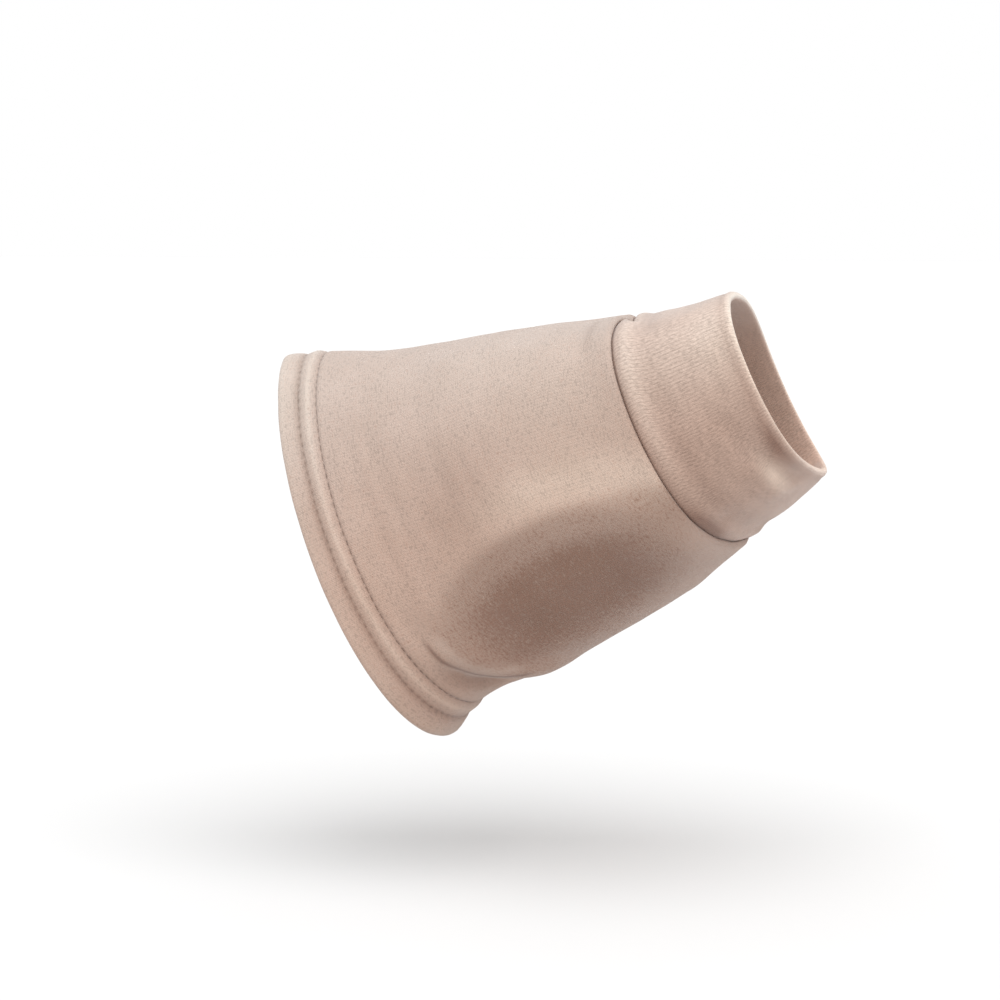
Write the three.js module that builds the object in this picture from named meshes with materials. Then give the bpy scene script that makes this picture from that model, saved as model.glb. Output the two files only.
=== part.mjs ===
// An arch support sleeve for a left foot, in the form that it has when worn: a knitted tube, tall
// at its heel end and low and wide at its toe end, with a turned hem, a folded toe band and a
// soft pad held under the arch. Millimetres, +Z up, +X to the toes, -Y to the inner side of the
// foot. The origin is the middle of the sleeve, where the foot fills it.
import * as THREE from "three";

// Knitted tube, from the heel rim to the seam
const bodyLength = 86;
const wall = 1.2;
const hemWidth = 10.3;
const hemThickness = 2.2;
const needleLine = 5.8;
const needleGroove = 0.35;
const grooveReach = 0.7;

// Folded band, from the seam to the toe rim
const cuffLength = 27;
const cuffThickness = 2.2;
const cuffTuck = 3.5;
const seamDitch = 0.7;
const seamRoll = 2.6;
const tuckRound = 0.5;

// Pad between the tube and the foot: widest line to upper edge, widest line to lower edge
const padLength = 66;
const padRise = 17;
const padDrop = 43;
const padThickness = 6.5;
const padEdge = 1.2;
const padEase = 0.7;
const padAngle = 126;

// Ends of the sleeve, measured outside
const heelHeight = 104.5;
const heelWidth = 66;
const toeHeight = 50.5;
const toeWidth = 90;

// How the worn sleeve sits and leans
const pitch = 25;
const placeAlong = 9.5;
const placeAside = 1;
const rise = 12;
const lean = 15;
const lift = 5;
const tilt = 3.5;
const bow = 7;
const skew = 2.5;

// Forms that the foot and the pad press into the cloth
const hollowDepth = 3.6;
const bulgeHeight = 1.8;
const ridgeHeight = 0.5;
const creaseDepth = 2.2;
const rollHeight = 1.2;
const foldDepth = 1.6;
const foldWidth = 2.4;

// Where those forms lie on the pad and how wide they are. Rings are shares of the pad's outline,
// 1 on it; the bulge's place is a share of the way down from the pad's widest line.
const archForms = {
  hollowEdge: 1.02, hollowSlope: 0.62, hollowLowest: 0.75,
  bulgePlace: 0.85, bulgeWidth: 0.42, bulgeEnds: 0.4,
  ridgeRing: 1.08, ridgeWidth: 0.14,
  rollRing: 0.84, rollWidth: 0.1,
  creaseRing: 1.06, creaseWidth: 0.08,
};

// Loose fit between pieces that touch
const clearance = 0.3;

// The pad ends where the band's tucked edge begins
const padPlace = bodyLength - cuffTuck - clearance - padLength / 2;

// Sections from the heel rim to the toe rim. Height and width run from 0, the heel end's size,
// to 1, the toe end's. The lengths after them are shares of the values of the same name, and
// egg and square are how far a section leaves an ellipse.
const sleeveLength = bodyLength + cuffLength;
const sections = [
  { along: 0.00, height: 0.00, width: 0.00, rise: 1.06, lean: 0.00, lift: -1.20,
    tilt: -0.30, bow: 1.00, skew: 0.0, egg: 0.16, square: 0.02 },
  { along: 0.10, height: 0.17, width: 0.06, rise: 1.10, lean: 0.10, lift: -0.80,
    tilt: -0.10, bow: 0.95, skew: 0.0, egg: 0.15, square: 0.02 },
  { along: 0.25, height: 0.31, width: 0.21, rise: 0.84, lean: 0.23, lift: -0.10,
    tilt: 0.30, bow: 0.88, skew: 0.0, egg: 0.13, square: 0.02 },
  { along: 0.50, height: 0.50, width: 0.54, rise: 0.62, lean: 0.50, lift: 0.40,
    tilt: 0.80, bow: 0.78, skew: 0.0, egg: 0.09, square: 0.03 },
  { along: 0.75, height: 0.73, width: 0.87, rise: 0.43, lean: 0.80, lift: 0.80,
    tilt: 0.80, bow: 0.70, skew: 0.0, egg: 0.04, square: 0.05 },
  { along: 0.88, height: 0.88, width: 0.96, rise: 0.42, lean: 0.90, lift: 0.90,
    tilt: 0.90, bow: 0.55, skew: 0.6, egg: 0.03, square: 0.05 },
  { along: 1.00, height: 1.00, width: 1.00, rise: 0.52, lean: 1.00, lift: 1.00,
    tilt: 1.00, bow: 0.47, skew: 1.0, egg: 0.02, square: 0.05 },
];

// Folds and dimples, each a line from one place to another: shares of the sleeve's length, and
// degrees around it from the top towards the inner side. Depth and width are shares of the
// fold's; a negative depth is a raised fold.
const folds = [
  { along: 0.79, around: 12, toAlong: 0.82, toAround: 36, width: 1.2, depth: 0.5 },
  { along: 0.69, around: 10, toAlong: 0.70, toAround: 48, width: 2.0, depth: 0.5 },
  { along: 0.80, around: 146, toAlong: 0.80, toAround: 182, width: 2.2, depth: 1.0 },
  { along: 0.91, around: 126, toAlong: 0.92, toAround: 150, width: 1.4, depth: -0.5 },
  { along: 0.92, around: 104, toAlong: 0.96, toAround: 154, width: 1.0, depth: 0.8 },
  { along: 0.20, around: 62, toAlong: 0.22, toAround: 112, width: 1.6, depth: 0.3 },
  { along: 0.30, around: 30, toAlong: 0.31, toAround: 74, width: 2.4, depth: 0.25 },
];

// Points around a section, and how much closer they lie on the padded side than opposite it
const pointsAround = 56;
const crowding = 0.35;
const crowdedAngle = 140;
const padRings = 9;
const padSpokes = 36;

const radians = THREE.MathUtils.degToRad;
const smoothstep = THREE.MathUtils.smoothstep;

function bell(x, width) {
  return Math.exp(-((x / width) ** 2));
}

// The value of one column at a share of the length, on a smooth curve through the rows
function column(name, share) {
  let row = 0;
  while (row < sections.length - 2 && share > sections[row + 1].along) {
    row += 1;
  }
  const slope = (i) => {
    const before = sections[Math.max(i - 1, 0)];
    const after = sections[Math.min(i + 1, sections.length - 1)];
    return (after[name] - before[name]) / (after.along - before.along);
  };
  const from = sections[row];
  const to = sections[row + 1];
  const step = to.along - from.along;
  const u = (share - from.along) / step;
  const v = 1 - u;
  return from[name] * (1 + 2 * u) * v * v + slope(row) * step * u * v * v
    + to[name] * (3 - 2 * u) * u * u - slope(row + 1) * step * u * u * v;
}

// Half height and half width of the section at a share of the length
function halfSizes(share) {
  return {
    tall: THREE.MathUtils.lerp(heelHeight, toeHeight, column("height", share)) / 2,
    wide: THREE.MathUtils.lerp(heelWidth, toeWidth, column("width", share)) / 2,
  };
}

// The sleeve's smooth outer skin, before folds, in the frame of its own axis
function skin(share, angle) {
  const { tall, wide } = halfSizes(share);
  const s = Math.sin(angle);
  const c = Math.cos(angle);
  const square = column("square", share);
  return new THREE.Vector3(
    (share - 0.5) * sleeveLength + placeAlong + tilt * column("tilt", share) * c / 2
      - bow * column("bow", share) * s * s + skew * column("skew", share) * s,
    placeAside - wide * (s + square * Math.sin(3 * angle)) * (1 - column("egg", share) * c)
      - lean * column("lean", share) * c,
    rise * column("rise", share) + tall * (c - square * Math.cos(3 * angle) + square * c)
      + lift * column("lift", share) * s,
  );
}

function outward(share, angle) {
  const step = 1e-3;
  const along = skin(share + step, angle).sub(skin(share - step, angle));
  const around = skin(share, angle + step).sub(skin(share, angle - step));
  return around.cross(along).normalize();
}

// Where a place lies on the pad: 0 at its widest line's middle, 1 on its outline
function padCoordinates(share, angle) {
  const { tall, wide } = halfSizes(share);
  const radius = (tall + wide) / 2;
  const turn = (angle - radians(padAngle)) * radius;
  return {
    u: (share * sleeveLength - padPlace) / (padLength / 2),
    v: turn / (turn < 0 ? padRise : padDrop),
  };
}

// The hollow over the arch with its raised upper edge, the round of the pad below it, and the
// roll and crease round the pad's heel end
function archRelief(share, angle) {
  const { u, v } = padCoordinates(share, angle);
  const ring = Math.hypot(u, v);
  const above = smoothstep(0.35 - v, 0, 0.5) * smoothstep(1.1 - Math.abs(u), 0, 0.4);
  const below = smoothstep(v, 0, 0.25) * smoothstep(1.35 - v, 0, 0.4);
  const heelEnd = below * smoothstep(-u, 0.2, 0.6);
  const hollow = smoothstep(archForms.hollowEdge - ring, 0, archForms.hollowSlope)
    * smoothstep(archForms.hollowLowest - v, 0, 0.6);
  const bulge = bell(v - archForms.bulgePlace, archForms.bulgeWidth)
    * smoothstep(1 - Math.abs(u), 0, archForms.bulgeEnds);
  const ridge = above * bell(ring - archForms.ridgeRing, archForms.ridgeWidth);
  const roll = heelEnd * bell(ring - archForms.rollRing, archForms.rollWidth);
  const crease = heelEnd * bell(ring - archForms.creaseRing, archForms.creaseWidth);
  return bulgeHeight * bulge + ridgeHeight * ridge + rollHeight * roll
    - hollowDepth * hollow - creaseDepth * crease;
}

function foldRelief(share, angle) {
  const { tall, wide } = halfSizes(share);
  const radius = (tall + wide) / 2;
  let height = 0;
  for (const fold of folds) {
    const along = (share - fold.along) * sleeveLength;
    const around = (angle - radians(fold.around)) * radius;
    const runAlong = (fold.toAlong - fold.along) * sleeveLength;
    const runAround = radians(fold.toAround - fold.around) * radius;
    const run = Math.hypot(runAlong, runAround);
    const on = (along * runAlong + around * runAround) / run;
    const off = (along * runAround - around * runAlong) / run;
    const past = Math.max(-on, on - run, 0);
    const width = foldWidth * fold.width;
    height -= foldDepth * fold.depth * bell(off, width) * bell(past, 2 * width);
  }
  return height;
}

// A point of the cloth or the pad, some depth under the sleeve's outer face
function place(length, angle, depth) {
  const share = length / sleeveLength;
  const height = archRelief(share, angle) + foldRelief(share, angle) - depth;
  return skin(share, angle).addScaledVector(outward(share, angle), height);
}

function solid(name, points, faces, look) {
  const corners = points.flatMap((point) => point.toArray());
  const geometry = new THREE.BufferGeometry();
  geometry.setAttribute("position", new THREE.Float32BufferAttribute(corners, 3));
  geometry.setIndex(faces.flat());
  geometry.computeVertexNormals();
  const mesh = new THREE.Mesh(geometry, new THREE.MeshStandardMaterial(look));
  mesh.name = name;
  return mesh;
}

// A closed section swept round the sleeve. The section goes out along the outer face and comes
// back along the inner one, each corner a length from the heel rim and a depth.
function sweep(name, section, look) {
  const points = [];
  const faces = [];
  const count = section.length;
  for (let i = 0; i < pointsAround; i += 1) {
    const even = (i / pointsAround) * 2 * Math.PI;
    const angle = even - crowding * Math.sin(even - radians(crowdedAngle));
    for (const [length, depth] of section) {
      points.push(place(length, angle, depth));
    }
    for (let j = 0; j < count; j += 1) {
      const next = ((i + 1) % pointsAround) * count;
      const here = i * count;
      const onward = (j + 1) % count;
      faces.push([here + j, next + onward, here + onward], [here + j, next + j, next + onward]);
    }
  }
  return solid(name, points, faces, look);
}

// Even steps between two lengths at one depth, without the ends
function run(from, to, steps, depth) {
  const corners = [];
  for (let i = 1; i < steps; i += 1) {
    corners.push([from + (to - from) * (i / steps), depth]);
  }
  return corners;
}

// A sewn line: a narrow groove with the cloth rounding up on both sides
function groove(at) {
  return [[at - grooveReach, 0], [at, needleGroove], [at + grooveReach, 0]];
}

function makeBody() {
  const rim = hemThickness / 2;
  const section = [
    [0, rim],
    [rim * 0.25, rim * 0.4],
    [rim, 0],
    [(rim + needleLine) / 2, 0],
    ...groove(needleLine),
    [(needleLine + hemWidth) / 2, 0],
    ...groove(hemWidth),
    ...run(hemWidth + grooveReach, padPlace, 15, 0),
    ...run(padPlace, bodyLength, 8, 0),
    [bodyLength - wall / 2, 0],
    [bodyLength, wall / 2],
    [bodyLength - wall / 4, wall],
    ...run(bodyLength, padPlace, 7, wall),
    ...run(padPlace, hemWidth, 15, wall),
    [hemWidth, wall],
    [hemWidth - wall / 2, hemThickness],
    [hemWidth / 2, hemThickness],
    [rim, hemThickness],
    [rim * 0.25, rim * 1.6],
  ];
  return sweep("sleeve_body", section, { color: 0xd6bcab, roughness: 0.92, metalness: 0 });
}

// The band's outer face lies under the tube's edge, comes out of the ditch beside it and rises
// in a light roll
function makeCuff() {
  const rim = cuffThickness / 2;
  const under = wall + clearance;
  const tuckEnd = bodyLength - cuffTuck;
  const section = [
    [tuckEnd, under + cuffThickness / 2],
    [tuckEnd + tuckRound, under],
    [bodyLength - tuckRound, under],
    [bodyLength + clearance, under],
    [bodyLength + seamRoll / 2, seamDitch],
    [bodyLength + seamRoll, seamDitch / 3],
    [bodyLength + seamRoll * 2, seamDitch],
    ...run(bodyLength + seamRoll * 2, sleeveLength - rim, 6, seamDitch),
    [sleeveLength - rim, seamDitch],
    [sleeveLength - rim * 0.25, seamDitch + rim * 0.4],
    [sleeveLength, seamDitch + rim],
    [sleeveLength - rim * 0.25, seamDitch + rim * 1.6],
    [sleeveLength - rim, seamDitch + cuffThickness],
    ...run(sleeveLength - rim, bodyLength + seamRoll, 6, seamDitch + cuffThickness),
    [bodyLength + seamRoll, seamDitch + cuffThickness],
    [bodyLength, under + cuffThickness],
    [tuckEnd + tuckRound, under + cuffThickness],
  ];
  return sweep("toe_cuff", section, { color: 0xcdb1a0, roughness: 0.9, metalness: 0 });
}

// A lens of soft gel, thickest in the middle, with a thin edge all round
function makePad() {
  const points = [];
  const faces = [];
  const spot = (ring, spoke, depth) => {
    const turn = (spoke / padSpokes) * 2 * Math.PI;
    const length = padPlace + ring * (padLength / 2) * Math.cos(turn);
    const { tall, wide } = halfSizes(length / sleeveLength);
    const reach = ring * (Math.sin(turn) < 0 ? padRise : padDrop) * Math.sin(turn);
    return place(length, radians(padAngle) + reach / ((tall + wide) / 2), depth);
  };
  for (const inside of [false, true]) {
    const first = points.length;
    const depth = (ring) => wall + padEase
      + (inside ? padEdge + (padThickness - padEdge) * (1 - ring * ring) : 0);
    const face = (a, b, c) => faces.push(inside ? [a, b, c] : [a, c, b]);
    const at = (ring, spoke) => (
      ring === 0 ? first : first + 1 + (ring - 1) * padSpokes + (spoke % padSpokes)
    );
    points.push(spot(0, 0, depth(0)));
    for (let ring = 1; ring <= padRings; ring += 1) {
      for (let spoke = 0; spoke < padSpokes; spoke += 1) {
        points.push(spot(ring / padRings, spoke, depth(ring / padRings)));
      }
    }
    for (let spoke = 0; spoke < padSpokes; spoke += 1) {
      face(at(0, 0), at(1, spoke), at(1, spoke + 1));
      for (let ring = 1; ring < padRings; ring += 1) {
        face(at(ring, spoke), at(ring + 1, spoke), at(ring + 1, spoke + 1));
        face(at(ring, spoke), at(ring + 1, spoke + 1), at(ring, spoke + 1));
      }
    }
  }
  const half = points.length / 2;
  const rim = half - padSpokes;
  for (let spoke = 0; spoke < padSpokes; spoke += 1) {
    const here = rim + spoke;
    const next = rim + ((spoke + 1) % padSpokes);
    faces.push([here, next + half, here + half], [here, next, next + half]);
  }
  return solid("arch_pad", points, faces, { color: 0xc9b4a6, roughness: 0.45, metalness: 0 });
}

const sleeve = new THREE.Group();
sleeve.rotation.y = -radians(pitch);
sleeve.add(makeBody(), makeCuff(), makePad());

export default sleeve;
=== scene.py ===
import math

import bpy
import numpy as np
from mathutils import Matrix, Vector


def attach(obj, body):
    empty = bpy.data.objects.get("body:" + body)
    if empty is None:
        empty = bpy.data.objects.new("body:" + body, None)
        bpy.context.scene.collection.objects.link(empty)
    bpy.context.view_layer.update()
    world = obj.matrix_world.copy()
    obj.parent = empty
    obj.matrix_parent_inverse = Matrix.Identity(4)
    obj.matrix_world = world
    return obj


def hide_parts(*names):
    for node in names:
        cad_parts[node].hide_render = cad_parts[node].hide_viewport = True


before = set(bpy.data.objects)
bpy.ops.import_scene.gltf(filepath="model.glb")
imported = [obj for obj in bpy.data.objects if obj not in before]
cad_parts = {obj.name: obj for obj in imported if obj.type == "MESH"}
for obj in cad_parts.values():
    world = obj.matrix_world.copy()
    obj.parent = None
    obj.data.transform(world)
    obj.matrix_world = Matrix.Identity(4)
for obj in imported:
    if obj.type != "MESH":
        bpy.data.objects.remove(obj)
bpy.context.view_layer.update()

# The knitted tube. Beige nylon and elastic yarn, knitted round in fine plain stitch and drawn
# into its worn form: tall at the heel end, broad at the toe end, hollow over the pad. At the heel
# end its edge is folded in once and sewn down flat.
BODY_LENGTH = 0.086
CUFF_LENGTH = 0.027
SLEEVE_LENGTH = BODY_LENGTH + CUFF_LENGTH
CUFF_TUCK = 0.0035
CLEARANCE = 0.0003
CLOTH = 0.0011
HEM_WIDTH = 0.0103
NEEDLE_LINE = 0.0058
HEEL_HEIGHT, HEEL_WIDTH = 0.1045, 0.066
TOE_HEIGHT, TOE_WIDTH = 0.0505, 0.090
PITCH = math.radians(25)
PLACE_ALONG, PLACE_ASIDE = 0.0095, 0.001
RISE, LEAN, LIFT = 0.012, 0.015, 0.005
TILT, BOW, SKEW = 0.0035, 0.007, 0.0025

PAD_LENGTH, PAD_RISE, PAD_DROP = 0.066, 0.017, 0.043
PAD_ANGLE = math.radians(126)
PAD_PLACE = BODY_LENGTH - CUFF_TUCK - CLEARANCE - PAD_LENGTH / 2
HOLLOW_DEPTH, BULGE_HEIGHT, RIDGE_HEIGHT = 0.0036, 0.0018, 0.0005
CREASE_DEPTH, ROLL_HEIGHT = 0.0022, 0.0012
FOLD_DEPTH, FOLD_WIDTH = 0.0016, 0.0024
WAVE_HEIGHT = 0.00004
# Each wave of the cloth: its strength, its count round the sleeve, its radians along the sleeve
# and its shift
WAVES = ((1.0, 9, 23, 0.0), (1.0, 17, -41, 1.3), (0.7, 29, 63, 0.4))

# One row for each section from the heel rim to the toe rim, in shares of the sizes above
SECTION_COLUMNS = ("along", "height", "width", "rise", "lean", "lift",
                   "tilt", "bow", "skew", "egg", "square")
SECTIONS = np.array([
    (0.00, 0.00, 0.00, 1.06, 0.00, -1.20, -0.30, 1.00, 0.0, 0.16, 0.02),
    (0.10, 0.17, 0.06, 1.10, 0.10, -0.80, -0.10, 0.95, 0.0, 0.15, 0.02),
    (0.25, 0.31, 0.21, 0.84, 0.23, -0.10, 0.30, 0.88, 0.0, 0.13, 0.02),
    (0.50, 0.50, 0.54, 0.62, 0.50, 0.40, 0.80, 0.78, 0.0, 0.09, 0.03),
    (0.75, 0.73, 0.87, 0.43, 0.80, 0.80, 0.80, 0.70, 0.0, 0.04, 0.05),
    (0.88, 0.88, 0.96, 0.42, 0.90, 0.90, 0.90, 0.55, 0.6, 0.03, 0.05),
    (1.00, 1.00, 1.00, 0.52, 1.00, 1.00, 1.00, 0.47, 1.0, 0.02, 0.05),
])
# Folds, then soft drag lines: each a line across the cloth from one share of the length and
# one angle to another, then its width and depth. A negative depth stands up.
FOLDS = (
    (0.79, 12, 0.82, 36, 1.2, 0.5),
    (0.69, 10, 0.70, 48, 2.0, 0.5),
    (0.80, 146, 0.80, 182, 2.2, 1.0),
    (0.91, 126, 0.92, 150, 1.4, -0.5),
    (0.92, 104, 0.96, 154, 1.0, 0.8),
    (0.20, 62, 0.22, 112, 1.6, 0.3),
    (0.30, 30, 0.31, 74, 2.4, 0.25),
    (0.155, 60, 0.175, 100, 0.7, 0.10),
    (0.178, 58, 0.200, 84, 0.6, -0.10),
    (0.268, 70, 0.275, 92, 0.7, 0.10),
    (0.300, 52, 0.315, 80, 0.6, -0.08),
    (0.330, 68, 0.340, 92, 0.6, 0.11),
    (0.362, 60, 0.372, 84, 0.5, -0.07),
    (0.392, 74, 0.400, 94, 0.5, 0.10),
    (0.440, 66, 0.448, 88, 0.6, 0.07),
    (0.105, 108, 0.135, 150, 0.8, -0.14),
    (0.130, 112, 0.120, 160, 0.7, 0.16),
    (0.766, 2, 0.792, 22, 0.35, 0.9),
    (0.842, 30, 0.862, 62, 1.2, 0.12),
    (0.880, 112, 0.895, 160, 1.5, 0.15),
)


def column(name, share):
    """One column of the sections at any share of the length, on a smooth curve."""
    along = SECTIONS[:, 0]
    values = SECTIONS[:, SECTION_COLUMNS.index(name)]
    before = np.maximum(np.arange(len(along)) - 1, 0)
    after = np.minimum(np.arange(len(along)) + 1, len(along) - 1)
    slopes = (values[after] - values[before]) / (along[after] - along[before])
    row = np.clip(np.searchsorted(along, share, side="right") - 1, 0, len(along) - 2)
    step = along[row + 1] - along[row]
    u = (share - along[row]) / step
    v = 1 - u
    return (values[row] * (1 + 2 * u) * v * v + slopes[row] * step * u * v * v
            + values[row + 1] * (3 - 2 * u) * u * u - slopes[row + 1] * step * u * u * v)


def mix(a, b, factor):
    return a + (b - a) * factor


def bell(x, width):
    return np.exp(-((x / width) ** 2))


def smooth(x, low, high):
    u = np.clip((x - low) / (high - low), 0, 1)
    return u * u * (3 - 2 * u)


def within(x, edge, fade):
    """1 well inside an edge and 0 past it."""
    return smooth(edge - x, 0, fade)


def half_sizes(share):
    tall = mix(HEEL_HEIGHT, TOE_HEIGHT, column("height", share)) / 2
    wide = mix(HEEL_WIDTH, TOE_WIDTH, column("width", share)) / 2
    return tall, wide


def skin(share, angle):
    """The smooth outer face, in the frame of the sleeve's own axis."""
    tall, wide = half_sizes(share)
    s, c = np.sin(angle), np.cos(angle)
    square, egg = column("square", share), column("egg", share)
    x = ((share - 0.5) * SLEEVE_LENGTH + PLACE_ALONG + TILT * column("tilt", share) * c / 2
         - BOW * column("bow", share) * s * s + SKEW * column("skew", share) * s)
    y = (PLACE_ASIDE - wide * (s + square * np.sin(3 * angle)) * (1 - egg * c)
         - LEAN * column("lean", share) * c)
    z = (RISE * column("rise", share) + tall * (c - square * np.cos(3 * angle) + square * c)
         + LIFT * column("lift", share) * s)
    return np.stack([x, y, z], -1)


def outward(share, angle):
    step = 1e-3
    along = skin(share + step, angle) - skin(share - step, angle)
    around = skin(share, angle + step) - skin(share, angle - step)
    normal = np.cross(around, along)
    return normal / np.linalg.norm(normal, axis=-1, keepdims=True)


def pad_coordinates(share, angle):
    """Where a place lies on the pad, along and round: 0 in its middle, 1 on its outline."""
    tall, wide = half_sizes(share)
    turn = (angle - PAD_ANGLE) * (tall + wide) / 2
    u = (share * SLEEVE_LENGTH - PAD_PLACE) / (PAD_LENGTH / 2)
    return u, turn / np.where(turn < 0, PAD_RISE, PAD_DROP)


# Rings and lines on the pad: where the middle of each lies and half its width, both as shares of
# the pad's half sizes
RIDGE_RING, ROLL_RING, CREASE_RING = (1.08, 0.14), (0.84, 0.1), (1.06, 0.08)
BULGE_LINE = (0.85, 0.42)


def arch_relief(share, angle):
    """The hollow over the pad, its upper edge, and the round, roll and crease of the pad."""
    u, v = pad_coordinates(share, angle)
    ring = np.hypot(u, v)
    above = within(v, 0.35, 0.5) * within(abs(u), 1.1, 0.4)
    below = smooth(v, 0, 0.25) * within(v, 1.35, 0.4)
    heel_end = below * smooth(-u, 0.2, 0.6)
    hollow = within(ring, 1.02, 0.62) * within(v, 0.75, 0.6)
    bulge = bell(v - BULGE_LINE[0], BULGE_LINE[1]) * within(abs(u), 1, 0.4)
    ridge = above * bell(ring - RIDGE_RING[0], RIDGE_RING[1])
    roll = heel_end * bell(ring - ROLL_RING[0], ROLL_RING[1])
    crease = heel_end * bell(ring - CREASE_RING[0], CREASE_RING[1])
    return (BULGE_HEIGHT * bulge + RIDGE_HEIGHT * ridge + ROLL_HEIGHT * roll
            - HOLLOW_DEPTH * hollow - CREASE_DEPTH * crease)


def fold_relief(share, angle):
    tall, wide = half_sizes(share)
    radius = (tall + wide) / 2
    height = np.zeros(np.broadcast(share, angle).shape)
    for from_along, from_degrees, to_along, to_degrees, width, depth in FOLDS:
        along = (share - from_along) * SLEEVE_LENGTH
        around = (angle - math.radians(from_degrees)) * radius
        run_along = (to_along - from_along) * SLEEVE_LENGTH
        run_around = math.radians(to_degrees - from_degrees) * radius
        run = np.hypot(run_along, run_around)
        on = (along * run_along + around * run_around) / run
        off = (along * run_around - around * run_along) / run
        past = np.maximum(np.maximum(-on, on - run), 0)
        reach = FOLD_WIDTH * width
        height = height - FOLD_DEPTH * depth * bell(off, reach) * bell(past, 2 * reach)
    return height


def cloth_waves(share, angle):
    """The faint unevenness of stretched knit, the same in every layer."""
    return WAVE_HEIGHT * sum(strength * np.sin(around * angle + along * share + shift)
                             for strength, around, along, shift in WAVES)


def pitched(points):
    """From the frame of the sleeve's own axis to the row's frame."""
    x, y, z = points[..., 0], points[..., 1], points[..., 2]
    c, s = math.cos(PITCH), math.sin(PITCH)
    return np.stack([x * c - z * s, y, x * s + z * c], -1)


def place(length, angle, depth):
    """A point of the cloth, some depth under the sleeve's outer face."""
    share = length / SLEEVE_LENGTH
    relief = arch_relief(share, angle) + fold_relief(share, angle) + cloth_waves(share, angle)
    return pitched(skin(share, angle) + outward(share, angle) * (relief - depth)[..., None])


def cloth_section(path, thickness):
    """A closed section round a path of (length, depth): out on one face, back on the other."""
    path = np.array(path)
    along = np.gradient(path, axis=0)
    along /= np.linalg.norm(along, axis=1, keepdims=True)
    side = np.stack([along[:, 1], -along[:, 0]], -1) * thickness / 2
    cap = np.linspace(0, np.pi, 7)[1:-1, None]
    end = path[-1] + side[-1] * np.cos(cap) + along[-1] * thickness / 2 * np.sin(cap)
    start = path[0] - side[0] * np.cos(cap) - along[0] * thickness / 2 * np.sin(cap)
    return np.concatenate([path + side, end, (path - side)[::-2], start])


CROWDED_AT, CROWDING = math.radians(140), 0.25


def turns(count):
    """Angles round the sleeve, closer together on the padded side."""
    even = np.linspace(0, 2 * np.pi, count + 1)
    return even - CROWDING * (np.sin(even - CROWDED_AT) + math.sin(CROWDED_AT))


def mesh_object(name, points, faces):
    mesh = bpy.data.meshes.new(name)
    mesh.from_pydata(points.reshape(-1, 3).tolist(), [], [tuple(face) for face in faces])
    mesh.polygons.foreach_set("use_smooth", [True] * len(mesh.polygons))
    piece = bpy.data.objects.new(name, mesh)
    bpy.context.collection.objects.link(piece)
    return piece


def swept_cloth(name, section, count):
    """A closed section swept round the sleeve, with a UV map in metres of cloth.

    Returns the piece, its mean girth, and the way along the cloth to each point."""
    angles = turns(count)
    grid = place(section[None, :, 0], angles[:, None], section[None, :, 1])
    rows = len(section)
    i, j = np.meshgrid(np.arange(count), np.arange(rows), indexing="ij")
    corners_i = np.stack([i, i + 1, i + 1, i], -1)
    corners_j = np.stack([j, j, j + 1, j + 1], -1)
    faces = (corners_i % count) * rows + corners_j % rows
    piece = mesh_object(name, grid[:-1], faces.reshape(-1, 4))
    girth = np.linalg.norm(np.diff(grid, axis=0), axis=-1).cumsum(axis=0)
    girth = np.concatenate([np.zeros((1, rows)), girth])
    around = girth / girth[-1] * girth[-1].mean()
    step = np.linalg.norm(np.diff(section, axis=0, append=section[:1]), axis=1).cumsum()
    along = np.concatenate([[0], step])
    uv = np.stack([around[corners_i, corners_j % rows], along[corners_j]], -1)
    layer = piece.data.uv_layers.new(name="knit")
    layer.data.foreach_set("uv", uv.reshape(-1))
    return piece, girth[-1].mean(), along


def point_mask(piece, name, values):
    layer = piece.data.attributes.new(name, "FLOAT", "POINT")
    layer.data.foreach_set("value", values.reshape(-1))


# Rings round the hem: the rolled rim, the needle's ditch, the ridge between both sewn lines, and
# the second ditch. Each has its place, its half width and its height, negative where it is sunk.
RIDGE_LINE = 0.0081
HEM_RINGS = (
    (0.0024, 0.0014, 0.00012),
    (NEEDLE_LINE - 0.0003, 0.0010, -0.00036),
    (RIDGE_LINE, 0.0011, 0.00034),
    (HEM_WIDTH, 0.00048, -0.00046),
)
END_TURN, END_TURN_LENGTH = 0.0004, 0.0009


def ring_heights(length, rings):
    return sum(height * bell(length - line, width) for line, width, height in rings)


def body_depth(length):
    """How deep the middle of the outer layer lies, with its hem and its end turned inwards."""
    end = END_TURN * smooth(length, BODY_LENGTH - END_TURN_LENGTH, BODY_LENGTH) ** 2
    return CLOTH / 2 - ring_heights(length, HEM_RINGS) + end


FOLD_GAP = 0.00005
fold_radius = (CLOTH + FOLD_GAP) / 2
inner_depth = CLOTH / 2 + 2 * fold_radius
half_turn = np.linspace(-np.pi / 2, np.pi / 2, 11)
RIM_MIDDLE, RIM_END, FINE_END = CLOTH * 1.075, CLOTH * 1.2, 0.012
LAST_STRETCH, CUT_END = BODY_LENGTH - 0.001, BODY_LENGTH - 0.0002
hem_inside = [(s, inner_depth) for s in np.linspace(HEM_WIDTH, RIM_END, 16)]
hem_rim = [(RIM_MIDDLE - fold_radius * math.cos(t),
            CLOTH / 2 + fold_radius - fold_radius * math.sin(t)) for t in half_turn]
outer_run = np.concatenate([np.linspace(RIM_END, FINE_END, 42),
                            np.linspace(FINE_END, LAST_STRETCH, 120)[1:],
                            np.linspace(LAST_STRETCH, CUT_END, 5)[1:]])
body_path = hem_inside + hem_rim + [(s, float(body_depth(s))) for s in outer_run]
body_section = cloth_section(body_path, CLOTH)
TUBE_COLUMNS = 326
sleeve_body, tube_girth, tube_along = swept_cloth("knit_tube", body_section, TUBE_COLUMNS)

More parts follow.
